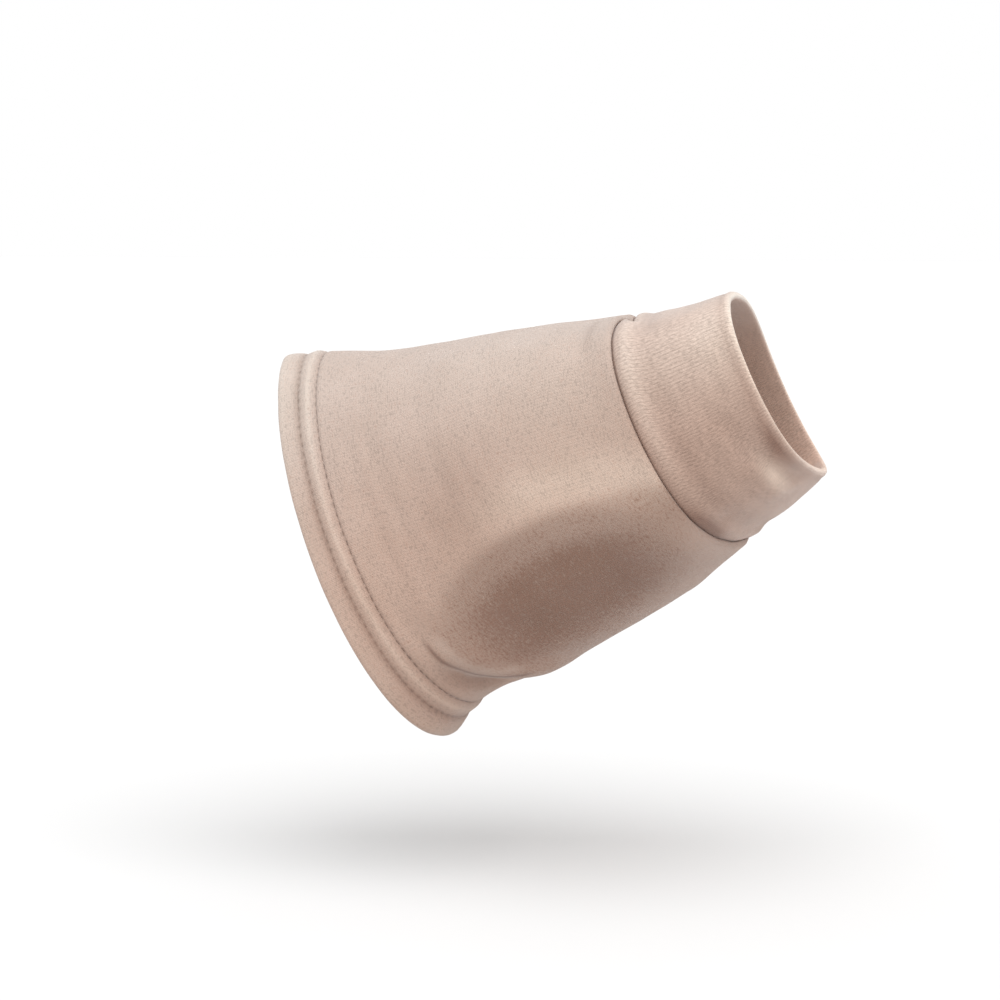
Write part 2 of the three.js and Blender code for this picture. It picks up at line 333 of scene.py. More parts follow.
# Over the pad the cloth is darker, most of all near the middle: painted shade of the hollow over the
# pad, which faces down, together with the pad showing through the cloth. A wide oval and a darker
# core, each with its middle and half sizes in the pad's coordinates. Both fade towards the
# underside, the heel end and the seam.
WIDE_DARK, WIDE_MIDDLE, WIDE_HALF = 0.38, (0.25, 0.0), (1.25, 1.08)
CORE_DARK, CORE_MIDDLE, CORE_HALF = 0.54, (0.02, 0.10), (1.12, 0.86)
UNDERSIDE_LOSS, HEEL_LOSS, SEAM_LOSS = 0.7, 0.25, 0.6
UNDERSIDE_FADE, HEEL_FADE, SEAM_FADE = (0.30, 0.85), (0.4, 1.0), (0.85, 1.1)


def oval_distance(u, v, middle, half):
    return np.hypot((u - middle[0]) / half[0], (v - middle[1]) / half[1])


length = body_section[None, :, 0]
share, angle = length / SLEEVE_LENGTH, turns(TUBE_COLUMNS)[:-1, None]
outside = body_section[None, :, 1] < CLOTH * 0.8
u, v = pad_coordinates(share, angle)
wide = within(oval_distance(u, v, WIDE_MIDDLE, WIDE_HALF), 1.05, 0.20)
core = smooth(1.0 - oval_distance(u, v, CORE_MIDDLE, CORE_HALF), 0.05, 0.62)
pad_shade_and_show_through = WIDE_DARK * wide + CORE_DARK * core
pad_shade_and_show_through *= 1 - UNDERSIDE_LOSS * smooth(v, *UNDERSIDE_FADE)
pad_shade_and_show_through *= 1 - HEEL_LOSS * smooth(-u, *HEEL_FADE)
pad_shade_and_show_through *= 1 - SEAM_LOSS * smooth(u, *SEAM_FADE) * smooth(v, -0.3, 0.3)
point_mask(sleeve_body, "pad_shade_and_show_through", pad_shade_and_show_through)
point_mask(sleeve_body, "pad_along", u + 0 * v)
point_mask(sleeve_body, "pad_around", v)

# Painted shade and painted highlights: the knit is darker in folds, in the hem's grooves, by the
# seam and on the underside, and paler on ridges and where it faces up. Each mark has its strength,
# its place along the sleeve and half its length, then its place round the sleeve and half its
# spread, in degrees from the top. None goes all the way.
TUBE_SHADES = (
    (0.42, NEEDLE_LINE - 0.0004, 0.0010, None, None),
    (0.20, HEM_WIDTH, 0.0009, None, None),
    (0.24, 0.0175, 0.0040, 152, 16),
    (0.13, 0.0200, 0.0020, 100, 30),
    (0.22, 0.0396, 0.0124, 88, 20),
    (0.30, BODY_LENGTH - 0.0055, 0.0010, 28, 16),
)
TUBE_HIGHLIGHTS = (
    (0.10, 0.0013, 0.0010, None, None),
    (0.20, RIDGE_LINE + 0.0002, 0.0007, None, None),
    (0.09, 0.0565, 0.0226, 45, 32),
    (0.09, 0.0565, 0.0226, 315, 32),
    (0.13, 0.0746, 0.0158, 72, 26),
)
END_SHADE, UNDERSIDE_SHADE = 0.08, 0.20
ABOVE_PAD_HIGHLIGHT, ABOVE_PAD_RING = 0.36, (1.38, 0.32)
HEM_TOP_HIGHLIGHT, TUBE_TOP_HIGHLIGHT = 0.16, 0.48
TOP_HIGHLIGHT_SPREAD = (105, 25)


def marks(places, length, degrees):
    """Soft marks on the cloth, added up."""
    total = np.zeros(np.broadcast(length, degrees).shape)
    for strength, along, half_length, around, half_spread in places:
        mark = strength
        if along is not None:
            mark = mark * bell(length - along, half_length)
        if around is not None:
            mark = mark * bell(degrees - around, half_spread)
        total = total + mark
    return total


def towards_top(from_top, starts, full):
    """How near the top a place lies, from 0 where it starts to 1, in degrees from the top."""
    return smooth(-from_top, -starts, -full)


degrees = np.degrees(angle)
from_top = np.minimum(degrees, 360 - degrees)
# Painted shade on the tube's outer face: the marks above, the tube's end and the underside
shade = marks(TUBE_SHADES, length, degrees)
shade = shade + END_SHADE * smooth(length, BODY_LENGTH - 0.0012, BODY_LENGTH - 0.0001)
shade = shade + UNDERSIDE_SHADE * smooth(from_top, 95, 150)
point_mask(sleeve_body, "shade", np.clip(shade * outside, 0, 1))
# Painted highlights on the tube's outer face: the marks above, above the pad, and on the hem towards
# the top
above = smooth(-v, 0.2, 0.7) * smooth(u, -0.5, 0.3)
above_pad = above * bell(np.hypot(u, v) - ABOVE_PAD_RING[0], ABOVE_PAD_RING[1])
on_hem = smooth(-length, -0.014, -0.004)
painted_highlight = marks(TUBE_HIGHLIGHTS, length, degrees) + ABOVE_PAD_HIGHLIGHT * above_pad
painted_highlight = painted_highlight + HEM_TOP_HIGHLIGHT * on_hem * towards_top(from_top, 85, 35)
point_mask(sleeve_body, "painted_highlight", np.clip(painted_highlight * outside, 0, 1))

# Painted highlight along the top, where the light falls strongest: the knit's colour is made paler
# and greyer
point_mask(sleeve_body, "top_highlight", TUBE_TOP_HIGHLIGHT * towards_top(from_top, *TOP_HIGHLIGHT_SPREAD) * outside)


def node_group(name, inputs, outputs):
    """A shader group with named sockets; returns it with its input and output nodes."""
    group = bpy.data.node_groups.new(name, "ShaderNodeTree")
    for label, kind, value in inputs:
        socket = group.interface.new_socket(label, in_out="INPUT", socket_type=kind)
        socket.default_value = value
    for label, kind in outputs:
        group.interface.new_socket(label, in_out="OUTPUT", socket_type=kind)
    return group, group.nodes.new("NodeGroupInput"), group.nodes.new("NodeGroupOutput")


def wire(tree, kind, *values, **settings):
    """A node with its settings, and its inputs linked or set in order."""
    node = tree.nodes.new(kind)
    for key, value in settings.items():
        setattr(node, key, value)
    for socket, value in zip(node.inputs, values):
        if isinstance(value, bpy.types.NodeSocket):
            tree.links.new(value, socket)
        elif value is not None:
            socket.default_value = value
    return node


def maths(tree, operation, *values):
    return wire(tree, "ShaderNodeMath", *values, operation=operation).outputs[0]


def noise(tree, vector, scale, detail=2.0, roughness=0.5):
    """Flat noise over cloth coordinates, from 0 to 1."""
    node = wire(tree, "ShaderNodeTexNoise", vector, noise_dimensions="2D")
    node.inputs["Scale"].default_value = scale
    node.inputs["Detail"].default_value = detail
    node.inputs["Roughness"].default_value = roughness
    return node.outputs["Fac"]


# Plain knit: columns of V-shaped stitches. Out come the stitches' height, the yarn's flecks,
# longer one way than the other, and the gaps between the stitches and the ribs. Scales are in
# patches for each metre of cloth.
WANDER_SCALE, WANDER = 260, 0.0004
FUZZ_SCALE, FUZZ = 2400, 0.5
STREAK_SCALE, STREAKS = (90, 380, 0), 0.2
STITCH_SLANT, STRAND_ROUND, LEG_ROUND = 1.6, 0.6, 0.5
knit, knit_in, knit_out = node_group(
    "Plain knit",
    [("Cloth", "NodeSocketVector", (0, 0, 0)), ("Column", "NodeSocketFloat", 0.0008),
     ("Course", "NodeSocketFloat", 0.0006), ("Rib", "NodeSocketFloat", 0.0),
     ("Flecks", "NodeSocketVector", (900, 1800, 0))],
    [("Height", "NodeSocketFloat"), ("Heather", "NodeSocketFloat"), ("Gap", "NodeSocketFloat")])
split = wire(knit, "ShaderNodeSeparateXYZ", knit_in.outputs["Cloth"])
wander = noise(knit, knit_in.outputs["Cloth"], WANDER_SCALE)
drift = maths(knit, "MULTIPLY", maths(knit, "SUBTRACT", wander, 0.5), WANDER)
columns = maths(knit, "DIVIDE", maths(knit, "ADD", split.outputs[0], drift),
                knit_in.outputs["Column"])
across = maths(knit, "ABSOLUTE", maths(knit, "SUBTRACT", maths(knit, "FRACT", columns), 0.5))
courses = maths(knit, "DIVIDE", maths(knit, "ADD", split.outputs[1], drift),
                knit_in.outputs["Course"])
slanted = maths(knit, "ADD", courses, maths(knit, "MULTIPLY", across, STITCH_SLANT))
strand = maths(knit, "ABSOLUTE", maths(knit, "SINE", maths(knit, "MULTIPLY", slanted, math.pi)))
leg = maths(knit, "SINE", maths(knit, "MULTIPLY", across, 2 * math.pi))
loop = maths(knit, "MULTIPLY", maths(knit, "POWER", strand, STRAND_ROUND),
             maths(knit, "POWER", leg, LEG_ROUND))
ridge = maths(knit, "COSINE", maths(knit, "MULTIPLY", across, 2 * math.pi))
ribbed = maths(knit, "MULTIPLY", ridge, knit_in.outputs["Rib"])
fuzz = maths(knit, "MULTIPLY", noise(knit, knit_in.outputs["Cloth"], FUZZ_SCALE, 3), FUZZ)
height = maths(knit, "ADD", maths(knit, "ADD", loop, ribbed), fuzz)
knit.links.new(height, knit_out.inputs["Height"])
flecked = wire(knit, "ShaderNodeVectorMath", knit_in.outputs["Cloth"],
               knit_in.outputs["Flecks"], operation="MULTIPLY").outputs[0]
drawn = wire(knit, "ShaderNodeVectorMath", knit_in.outputs["Cloth"], STREAK_SCALE,
             operation="MULTIPLY").outputs[0]
streaks = maths(knit, "SUBTRACT", noise(knit, drawn, 1.0), 0.5)
flecks = noise(knit, flecked, 1.0, detail=3, roughness=0.65)
knit.links.new(maths(knit, "MULTIPLY_ADD", streaks, STREAKS, flecks), knit_out.inputs["Heather"])
groove = maths(knit, "MULTIPLY", maths(knit, "SUBTRACT", 1.0, ridge), knit_in.outputs["Rib"])
knit.links.new(maths(knit, "ADD", maths(knit, "SUBTRACT", 1.0, loop), groove),
               knit_out.inputs["Gap"])


def ramp(tree, factor, *stops):
    node = wire(tree, "ShaderNodeValToRGB", factor)
    while len(node.color_ramp.elements) < len(stops):
        node.color_ramp.elements.new(0.5)
    for element, (position, colour) in zip(node.color_ramp.elements, stops):
        element.position = position
        element.color = (*colour, 1)
    return node.outputs["Color"]


def blend_colour(tree, kind, factor, a, b):
    node = tree.nodes.new("ShaderNodeMix")
    node.data_type = "RGBA"
    node.blend_type = kind
    for socket, value in zip((node.inputs[0], node.inputs[6], node.inputs[7]), (factor, a, b)):
        if isinstance(value, bpy.types.NodeSocket):
            tree.links.new(value, socket)
        else:
            socket.default_value = value
    return node.outputs[2]


def tinted(colour, factor):
    return tuple(channel * factor for channel in colour)


# Yarn colours are multiplied by these: painted shade in the knit's gaps, then painted shade, painted
# highlights, and the greyer painted highlight along the top
GAP_SHADE_SHARE, GAP_SHADE_TINT = 0.16, (0.50, 0.42, 0.38, 1)
TINTS = (
    ("shade", (0.50, 0.42, 0.39, 1)),
    ("painted_highlight", (1.63, 1.86, 1.90, 1)),
    ("top_highlight", (0.97, 1.27, 1.47, 1)),
)
DARK_FLECK, PALE_FLECK = 0.80, 1.13
PATCH_SCALE, PATCH_TINT = 70, (0.95, 0.94, 0.93)
STITCH_HEIGHT = 0.00014


def attribute(tree, name):
    return wire(tree, "ShaderNodeAttribute", attribute_name=name).outputs["Fac"]


def knit_material(name, yarn_colour, column, course, rib, flecks, bump):
    """Matt knitted cloth; returns it with its tree, cloth coordinates, heather and colour."""
    material = bpy.data.materials.new(name)
    material.use_nodes = True
    tree = material.node_tree
    shader = tree.nodes["Principled BSDF"]
    cloth = wire(tree, "ShaderNodeUVMap", uv_map="knit").outputs["UV"]
    stitches = tree.nodes.new("ShaderNodeGroup")
    stitches.node_tree = knit
    tree.links.new(cloth, stitches.inputs["Cloth"])
    stitches.inputs["Column"].default_value = column
    stitches.inputs["Course"].default_value = course
    stitches.inputs["Rib"].default_value = rib
    stitches.inputs["Flecks"].default_value = flecks
    yarn = ramp(tree, stitches.outputs["Heather"], (0.34, tinted(yarn_colour, DARK_FLECK)),
                (0.5, yarn_colour), (0.66, tinted(yarn_colour, PALE_FLECK)))
    patchy = ramp(tree, noise(tree, cloth, PATCH_SCALE), (0.3, PATCH_TINT), (0.7, (1, 1, 1)))
    yarn = blend_colour(tree, "MULTIPLY", 1.0, yarn, patchy)
    # Painted shade in the gaps between the stitches and in the rib grooves
    gaps = maths(tree, "MULTIPLY", stitches.outputs["Gap"], GAP_SHADE_SHARE)
    yarn = blend_colour(tree, "MULTIPLY", gaps, yarn, GAP_SHADE_TINT)
    for mask, tint in TINTS:
        yarn = blend_colour(tree, "MULTIPLY", attribute(tree, mask), yarn, tint)
    shader.inputs["Roughness"].default_value = 0.9
    shader.inputs["Specular IOR Level"].default_value = 0.2
    shader.inputs["Sheen Weight"].default_value = 0.42
    shader.inputs["Sheen Roughness"].default_value = 0.3
    relief = wire(tree, "ShaderNodeBump")
    relief.inputs["Strength"].default_value = bump
    relief.inputs["Distance"].default_value = STITCH_HEIGHT
    tree.links.new(stitches.outputs["Height"], relief.inputs["Height"])
    tree.links.new(relief.outputs["Normal"], shader.inputs["Normal"])
    return material, tree, cloth, stitches.outputs["Heather"], yarn


tube_knit, tree, cloth, heather, yarn = knit_material(
    "tube knit", yarn_colour=(0.515, 0.370, 0.300), column=0.00074, course=0.00056, rib=0.2,
    flecks=(800, 2000, 0), bump=0.55)

# Painted shade over the pad, together with the pad showing through: flecks break up the edge of the
# darker oval
PAD_SHOW_THROUGH_AND_SHADE_TINT, OVAL_FLECKS = (0.50, 0.42, 0.39, 1), 2.2
flecks = maths(tree, "SUBTRACT", heather, 0.5)
broken = maths(tree, "MULTIPLY_ADD", flecks, OVAL_FLECKS, attribute(tree, "pad_shade_and_show_through"))
oval = wire(tree, "ShaderNodeMapRange", broken, 0.05, 0.95, 0.0, 1.0).outputs[0]
yarn = blend_colour(tree, "MULTIPLY", oval, yarn, PAD_SHOW_THROUGH_AND_SHADE_TINT)


def bell_curve(tree, value, middle, width):
    off = maths(tree, "DIVIDE", maths(tree, "SUBTRACT", value, middle), width)
    return maths(tree, "EXPONENT", maths(tree, "MULTIPLY", maths(tree, "MULTIPLY", off, off), -1.0))


def faded(tree, value, low, high):
    return wire(tree, "ShaderNodeMapRange", value, low, high, 0.0, 1.0,
                interpolation_type="SMOOTHSTEP").outputs[0]


# The crease round the pad's heel end: painted shade as a thin dark line on an oval in the pad's
# coordinates, a painted highlight on the rolled-up cloth inside it, and painted shade outside it.
# Each line has its share of the oval and its half width. All fade in just above the pad's middle and
# out lower down, and they stay at its heel end.
CREASE_HALF_ALONG, CREASE_HALF_AROUND = 1.03, 0.68
CREASE_LINE, ROLLED_LINE, SHADED_LINE = (0.985, 0.018), (0.90, 0.045), (1.12, 0.09)
CREASE_IN, CREASE_OUT, CREASE_AT_HEEL = (-0.35, -0.05), (0.74, 0.60), (-0.58, -0.70)
CREASE_SHADE_TINT, CREASE_DARK, BELOW_DARK = (0.40, 0.32, 0.30, 1), 0.7, 0.16
ROLL_HIGHLIGHT_COLOUR, ROLL_HIGHLIGHT_SHARE = (0.72, 0.60, 0.52, 1), 0.16
pad_along = attribute(tree, "pad_along")
pad_around = attribute(tree, "pad_around")
ring_at = wire(tree, "ShaderNodeCombineXYZ", maths(tree, "DIVIDE", pad_along, CREASE_HALF_ALONG),
               maths(tree, "DIVIDE", maths(tree, "MAXIMUM", pad_around, 0.0), CREASE_HALF_AROUND))
ring = wire(tree, "ShaderNodeVectorMath", ring_at.outputs[0], operation="LENGTH").outputs["Value"]
heel_end = maths(tree, "MULTIPLY", faded(tree, pad_around, *CREASE_IN),
                 faded(tree, pad_along, *CREASE_AT_HEEL))
heel_end = maths(tree, "MULTIPLY", heel_end, faded(tree, pad_around, *CREASE_OUT))
crease = maths(tree, "MULTIPLY", bell_curve(tree, ring, *CREASE_LINE), heel_end)
rolled = maths(tree, "MULTIPLY", bell_curve(tree, ring, *ROLLED_LINE), heel_end)
below = maths(tree, "MULTIPLY", bell_curve(tree, ring, *SHADED_LINE), heel_end)
below = maths(tree, "MULTIPLY", below, faded(tree, pad_around, 0.0, 0.3))
dark_line = maths(tree, "MULTIPLY_ADD", below, BELOW_DARK,
                  maths(tree, "MULTIPLY", crease, CREASE_DARK))
yarn = blend_colour(tree, "MULTIPLY", dark_line, yarn, CREASE_SHADE_TINT)
yarn = blend_colour(tree, "MIX", maths(tree, "MULTIPLY", rolled, ROLL_HIGHLIGHT_SHARE), yarn,
                    ROLL_HIGHLIGHT_COLOUR)

# The needle's holes in both sewn lines, where the thread goes in and out, darkened with painted
# shade
HEM_STITCHES = 106
HOLE_SHADE_TINT, HOLE_HALF_LENGTH, HOLE_HALF_WIDTH = (0.32, 0.24, 0.21, 1), 0.00038, 0.0008
HOLE_LINES = ((NEEDLE_LINE, 0.40), (HEM_WIDTH, 0.62))
stitch_pitch = tube_girth / HEM_STITCHES
first_outer = len(hem_inside) + len(hem_rim)
outer_lengths = body_section[first_outer:first_outer + len(outer_run), 0]
outer_along = tube_along[first_outer:first_outer + len(outer_run)]
split = wire(tree, "ShaderNodeSeparateXYZ", cloth)
beat = maths(tree, "FRACT", maths(tree, "DIVIDE", split.outputs[0], stitch_pitch))
from_hole = maths(tree, "MULTIPLY", maths(tree, "PINGPONG", beat, 0.5), stitch_pitch)
holes = None
for line, deep in HOLE_LINES:
    at = float(np.interp(line, outer_lengths, outer_along))
    spot = maths(tree, "MULTIPLY", bell_curve(tree, split.outputs[1], at, HOLE_HALF_LENGTH),
                 bell_curve(tree, from_hole, 0.0, HOLE_HALF_WIDTH))
    spot = maths(tree, "MULTIPLY", spot, deep)
    holes = spot if holes is None else maths(tree, "MAXIMUM", holes, spot)
yarn = blend_colour(tree, "MULTIPLY", holes, yarn, HOLE_SHADE_TINT)
tree.links.new(yarn, tree.nodes["Principled BSDF"].inputs["Base Color"])
sleeve_body.data.materials.append(tube_knit)
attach(sleeve_body, "root")
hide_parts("sleeve_body")

# The hem's stitching. Two rows of beige polyester thread hold the folded edge: short stitches
# sunk into the cloth outside, and inside a looping thread that covers the raw edge.
HEM_THREAD, HEM_LOOP_THREAD = 0.00017, 0.00015
HEM_STITCH_DEPTHS = ((NEEDLE_LINE, 0.00016), (HEM_WIDTH, 0.00008))
HEM_STITCH_DIVE, STITCH_GAP = 0.00045, 0.05
HEM_LOOP_LINE, HEM_LOOP_SWING, HEM_LOOP_SWAY, HEM_LOOP_LIFT = 0.00815, 0.0026, 0.35, 0.00016
LOOP_BEATS, GIRTH_STEPS = 12, 1440
EDGE_SLOPE = 0.0007


def even_angles(length, shares):
    """Angles at even shares of the girth at one length."""
    fine = np.linspace(0, 2 * np.pi, GIRTH_STEPS + 1)
    points = place(np.full_like(fine, length), fine, np.zeros_like(fine))
    girth = np.concatenate([[0], np.linalg.norm(np.diff(points, axis=0), axis=1).cumsum()])
    whole = np.floor(shares)
    return np.interp(shares - whole, girth / girth[-1], fine) + whole * 2 * np.pi


def thread_piece(name, threads, radius, material, sides=6):
    """Round threads in one mesh; threads are rows of lengths, of angles and of depths."""
    length, angle, depth = threads
    centres = place(length, angle, depth)
    along = np.gradient(centres, axis=1)
    along /= np.linalg.norm(along, axis=-1, keepdims=True)
    up = pitched(outward(length / SLEEVE_LENGTH, angle))
    side = np.cross(along, up)
    side /= np.linalg.norm(side, axis=-1, keepdims=True)
    up = np.cross(side, along)
    turn = np.arange(sides) / sides * 2 * np.pi
    spin = up[:, :, None] * np.cos(turn)[:, None] + side[:, :, None] * np.sin(turn)[:, None]
    points = centres[:, :, None] + spin * radius
    count, rings = length.shape
    t, r, k = np.meshgrid(np.arange(count), np.arange(rings - 1), np.arange(sides), indexing="ij")
    corner_r = np.stack([r, r, r + 1, r + 1], -1)
    corner_k = np.stack([k, k + 1, k + 1, k], -1)
    walls = ((t[..., None] * rings + corner_r) * sides + corner_k % sides).reshape(-1, 4)
    first = np.arange(count)[:, None] * rings * sides + np.arange(sides)
    ends = first[:, ::-1].tolist() + (first + (rings - 1) * sides).tolist()
    piece = mesh_object(name, points, walls.tolist() + ends)
    run = np.linalg.norm(np.diff(centres, axis=1), axis=-1).cumsum(axis=1)
    run = np.concatenate([np.zeros((count, 1)), run], 1)
    uv = np.stack([corner_k / sides, run[t[..., None], corner_r]], -1).reshape(-1)
    layer = piece.data.uv_layers.new(name="ply")
    layer.data.foreach_set("uv", np.concatenate([uv, np.zeros(len(ends) * sides * 2)]))
    piece.data.materials.append(material)
    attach(piece, "root")
    return piece


# Thread twisted from two plies: a spiral of round strands, with painted shade in the grooves between
# them
TWIST_LENGTH, PLIES, PLY_HEIGHT = 0.0005, 2.0, 0.00006
GROOVE_SHADE_COLOUR, THREAD_COLOUR = (0.38, 0.27, 0.22), (0.56, 0.43, 0.36)
thread_look = bpy.data.materials.new("twisted thread")
thread_look.use_nodes = True
tree = thread_look.node_tree
shader = tree.nodes["Principled BSDF"]
ply = wire(tree, "ShaderNodeSeparateXYZ", wire(tree, "ShaderNodeUVMap", uv_map="ply").outputs[0])
twist = maths(tree, "ADD", maths(tree, "MULTIPLY", ply.outputs[0], PLIES),
              maths(tree, "DIVIDE", ply.outputs[1], TWIST_LENGTH))
strands = maths(tree, "ABSOLUTE", maths(tree, "SINE", maths(tree, "MULTIPLY", twist, math.pi)))
colour = ramp(tree, strands, (0.0, GROOVE_SHADE_COLOUR), (0.6, THREAD_COLOUR))
tree.links.new(colour, shader.inputs["Base Color"])
shader.inputs["Roughness"].default_value = 0.6
shader.inputs["Sheen Weight"].default_value = 0.2
relief = wire(tree, "ShaderNodeBump")
relief.inputs["Strength"].default_value = 0.5
relief.inputs["Distance"].default_value = PLY_HEIGHT
tree.links.new(strands, relief.inputs["Height"])
tree.links.new(relief.outputs["Normal"], shader.inputs["Normal"])


def joined(rows):
    return tuple(np.concatenate(parts) for parts in zip(*rows))


def stitch_row(count, line, girth_line, depth, dive):
    """Stitches in a row round the sleeve, each diving into the cloth at both its ends."""
    along = np.linspace(0, 1, 9)
    share = (np.arange(count)[:, None] + STITCH_GAP + (1 - 2 * STITCH_GAP) * along) / count
    sunk = depth + dive * np.abs(2 * along - 1) ** 4 + 0 * share
    return np.full(share.shape, line), even_angles(girth_line, share), sunk


def looping_threads(count, line, girth_line, swing, sway, lift, depth_at):
    """Two threads that cross to and fro over a raw edge, with a beat for each stitch."""
    looped = np.linspace(0, 1, count * LOOP_BEATS + 1)[None, :]
    phase = 2 * np.pi * count * looped
    rows = []
    for shift in (0, np.pi):
        length = line + swing * np.cos(phase + shift)
        angle = even_angles(girth_line, looped + sway / count * np.sin(2 * phase + shift))
        depth = depth_at(length) + lift * (1 + np.sin(phase + shift)) / 2
        rows.append((length, angle, depth))
    return joined(rows)


def hem_loop_depth(length):
    """Over the hem's inner layer, then down past its raw edge onto the tube."""
    over_edge = smooth(length, HEM_WIDTH, HEM_WIDTH + EDGE_SLOPE)
    return mix(inner_depth + CLOTH / 2 + HEM_LOOP_THREAD, CLOTH + 0.0002, over_edge)


hem_rows = [stitch_row(HEM_STITCHES, line, line, body_depth(line) - CLOTH / 2 + sunk,
                       HEM_STITCH_DIVE) for line, sunk in HEM_STITCH_DEPTHS]
hem_stitches = thread_piece("hem_stitches", joined(hem_rows), HEM_THREAD, thread_look)
hem_loops = looping_threads(HEM_STITCHES, HEM_LOOP_LINE, RIDGE_LINE, HEM_LOOP_SWING,
                            HEM_LOOP_SWAY, HEM_LOOP_LIFT, hem_loop_depth)
hem_looper = thread_piece("hem_looper", hem_loops, HEM_LOOP_THREAD, thread_look)

# The folded band at the toe end. The same yarn in a closer, ribbed knit, folded double over its
# toe rim. Its open edges are tucked under the tube's end and sewn to it all round.
SEAM_DITCH, DITCH_RISE, DITCH_TOP = 0.0007, 0.0001, 0.0017
ROLL_AFTER_SEAM, SEAM_ROLL_WIDTH, SEAM_ROLL_HEIGHT = 0.0033, 0.0016, 0.0006
TUCK_SLACK = 0.0004
RIM_LINE = SLEEVE_LENGTH - 0.0024
# The dip past the seam's roll and the line by the folded rim, given like the hem's rings
BAND_RINGS = (
    (BODY_LENGTH + 0.0074, 0.0019, -0.00022),
    (RIM_LINE, 0.00045, -0.00016),
)


def cuff_depth(length):
    """How deep the band's outer layer lies, from under the tube's edge to its toe rim."""
    under = CLOTH + CLEARANCE
    out = smooth(length, BODY_LENGTH + DITCH_RISE, BODY_LENGTH + DITCH_TOP)
    roll = SEAM_ROLL_HEIGHT * bell(length - BODY_LENGTH - ROLL_AFTER_SEAM, SEAM_ROLL_WIDTH)
    return CLOTH / 2 + mix(under, SEAM_DITCH, out) - roll * out - ring_heights(length, BAND_RINGS)


def inner_band_depth(length):
    """The folded-in layer, with some slack where it is tucked under the tube."""
    return cuff_depth(length) + 2 * fold_radius + (TUCK_SLACK if length < BODY_LENGTH else 0)


cuff_turn = SLEEVE_LENGTH - CLOTH * 1.1
cuff_start = BODY_LENGTH - CUFF_TUCK
past_roll = BODY_LENGTH + 0.005
cuff_out = np.concatenate([np.linspace(cuff_start, past_roll, 36),
                           np.linspace(past_roll, cuff_turn, 44)[1:]])
outer = [(s, float(cuff_depth(s))) for s in cuff_out]
turn_at = outer[-1][1] + fold_radius
cuff_rim = [(cuff_turn + fold_radius * math.cos(t), turn_at + fold_radius * math.sin(t))
            for t in half_turn[1:-1]]
inner = [(s, float(inner_band_depth(s))) for s in np.linspace(cuff_turn, cuff_start, 30)]
cuff_section = cloth_section((outer + cuff_rim + inner)[::-1], CLOTH)
BAND_COLUMNS = 330
toe_cuff, _, _ = swept_cloth("toe_band", cuff_section, BAND_COLUMNS)

# Painted shade in the seam's ditch, in the dip past the roll, in the folds and on the underside;
# painted highlights on the seam's roll, on the bump by the rim's lower end, on the folded edge and
# on the upper side
SEAM_SHADES = (
    (0.85, BODY_LENGTH + 0.0004, 0.0005, None, None),
    (0.16, BODY_LENGTH + 0.0014, 0.0008, None, None),
)
BAND_SHADES = (
    (0.85, BODY_LENGTH + 0.0020, 0.0019, 139, 16),
    (0.16, BODY_LENGTH + 0.0078, 0.0022, None, None),
    (0.66, SLEEVE_LENGTH - 0.0029, 0.0017, 124, 15),
    (0.20, RIM_LINE, 0.0006, None, None),
)
BAND_HIGHLIGHTS = (
    (0.20, None, None, 66, 20),
    (0.80, SLEEVE_LENGTH - 0.0070, 0.0020, 141, 14),
    (0.20, SLEEVE_LENGTH - 0.0050, 0.0050, 66, 26),
    (0.20, SLEEVE_LENGTH - 0.0050, 0.0050, 294, 26),
    (0.75, SLEEVE_LENGTH, 0.0006, None, None),
)
SEAM_ROLL_HIGHLIGHT, BAND_SIDE_SHADE, BAND_TOP_HIGHLIGHT = 0.15, 0.26, 0.42
length = cuff_section[None, :, 0]
degrees = np.degrees(turns(BAND_COLUMNS)[:-1, None])
outside = cuff_section[None, :, 1] < 2 * CLOTH
from_top = np.minimum(degrees, 360 - degrees)
# The seam's painted shade is made weaker on the padded side, about 110 degrees from the top
seam_shade_fade = 1 - 0.6 * bell(degrees - 110, 18)
shade = marks(SEAM_SHADES, length, degrees) * seam_shade_fade + marks(BAND_SHADES, length, degrees)
side = smooth(from_top, 60, 130) * (1 - 0.5 * smooth(from_top, 150, 175))
shade = shade + BAND_SIDE_SHADE * side
point_mask(toe_cuff, "shade", np.clip(shade * outside, 0, 1))
on_roll = bell(length - BODY_LENGTH - 0.0036, 0.0013)
painted_highlight = marks(BAND_HIGHLIGHTS, length, degrees)
painted_highlight = painted_highlight + SEAM_ROLL_HIGHLIGHT * on_roll * towards_top(from_top, 128, 92)
point_mask(toe_cuff, "painted_highlight", np.clip(painted_highlight * outside, 0, 1))
# Painted highlight along the band's top, paler and greyer, as on the tube
point_mask(toe_cuff, "top_highlight", BAND_TOP_HIGHLIGHT * towards_top(from_top, *TOP_HIGHLIGHT_SPREAD) * outside)

band_knit, tree, _, _, yarn = knit_material(
    "band knit", yarn_colour=(0.520, 0.372, 0.303), column=0.0009, course=0.00055, rib=0.5,
    flecks=(3000, 1000, 0), bump=0.34)
tree.links.new(yarn, tree.nodes["Principled BSDF"].inputs["Base Color"])
toe_cuff.data.materials.append(band_knit)
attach(toe_cuff, "root")
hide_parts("toe_cuff")

# The seam's stitching. A running thread binds the tube's end to the band deep in the seam, and
# inside, overlock threads run to and fro over the band's raw edges.
SEAM_STITCHES = 118
SEAM_THREAD, SEAM_LOOP_THREAD = 0.00012, 0.00014
SEAM_THREAD_DEPTH, SEAM_STITCH_DIVE = 0.0015, 0.0003
SEAM_LOOP_LINE, SEAM_LOOP_SWING, SEAM_LOOP_SWAY = cuff_start + 0.0011, 0.0018, 0.3
SEAM_EDGE_STEP = 0.0014


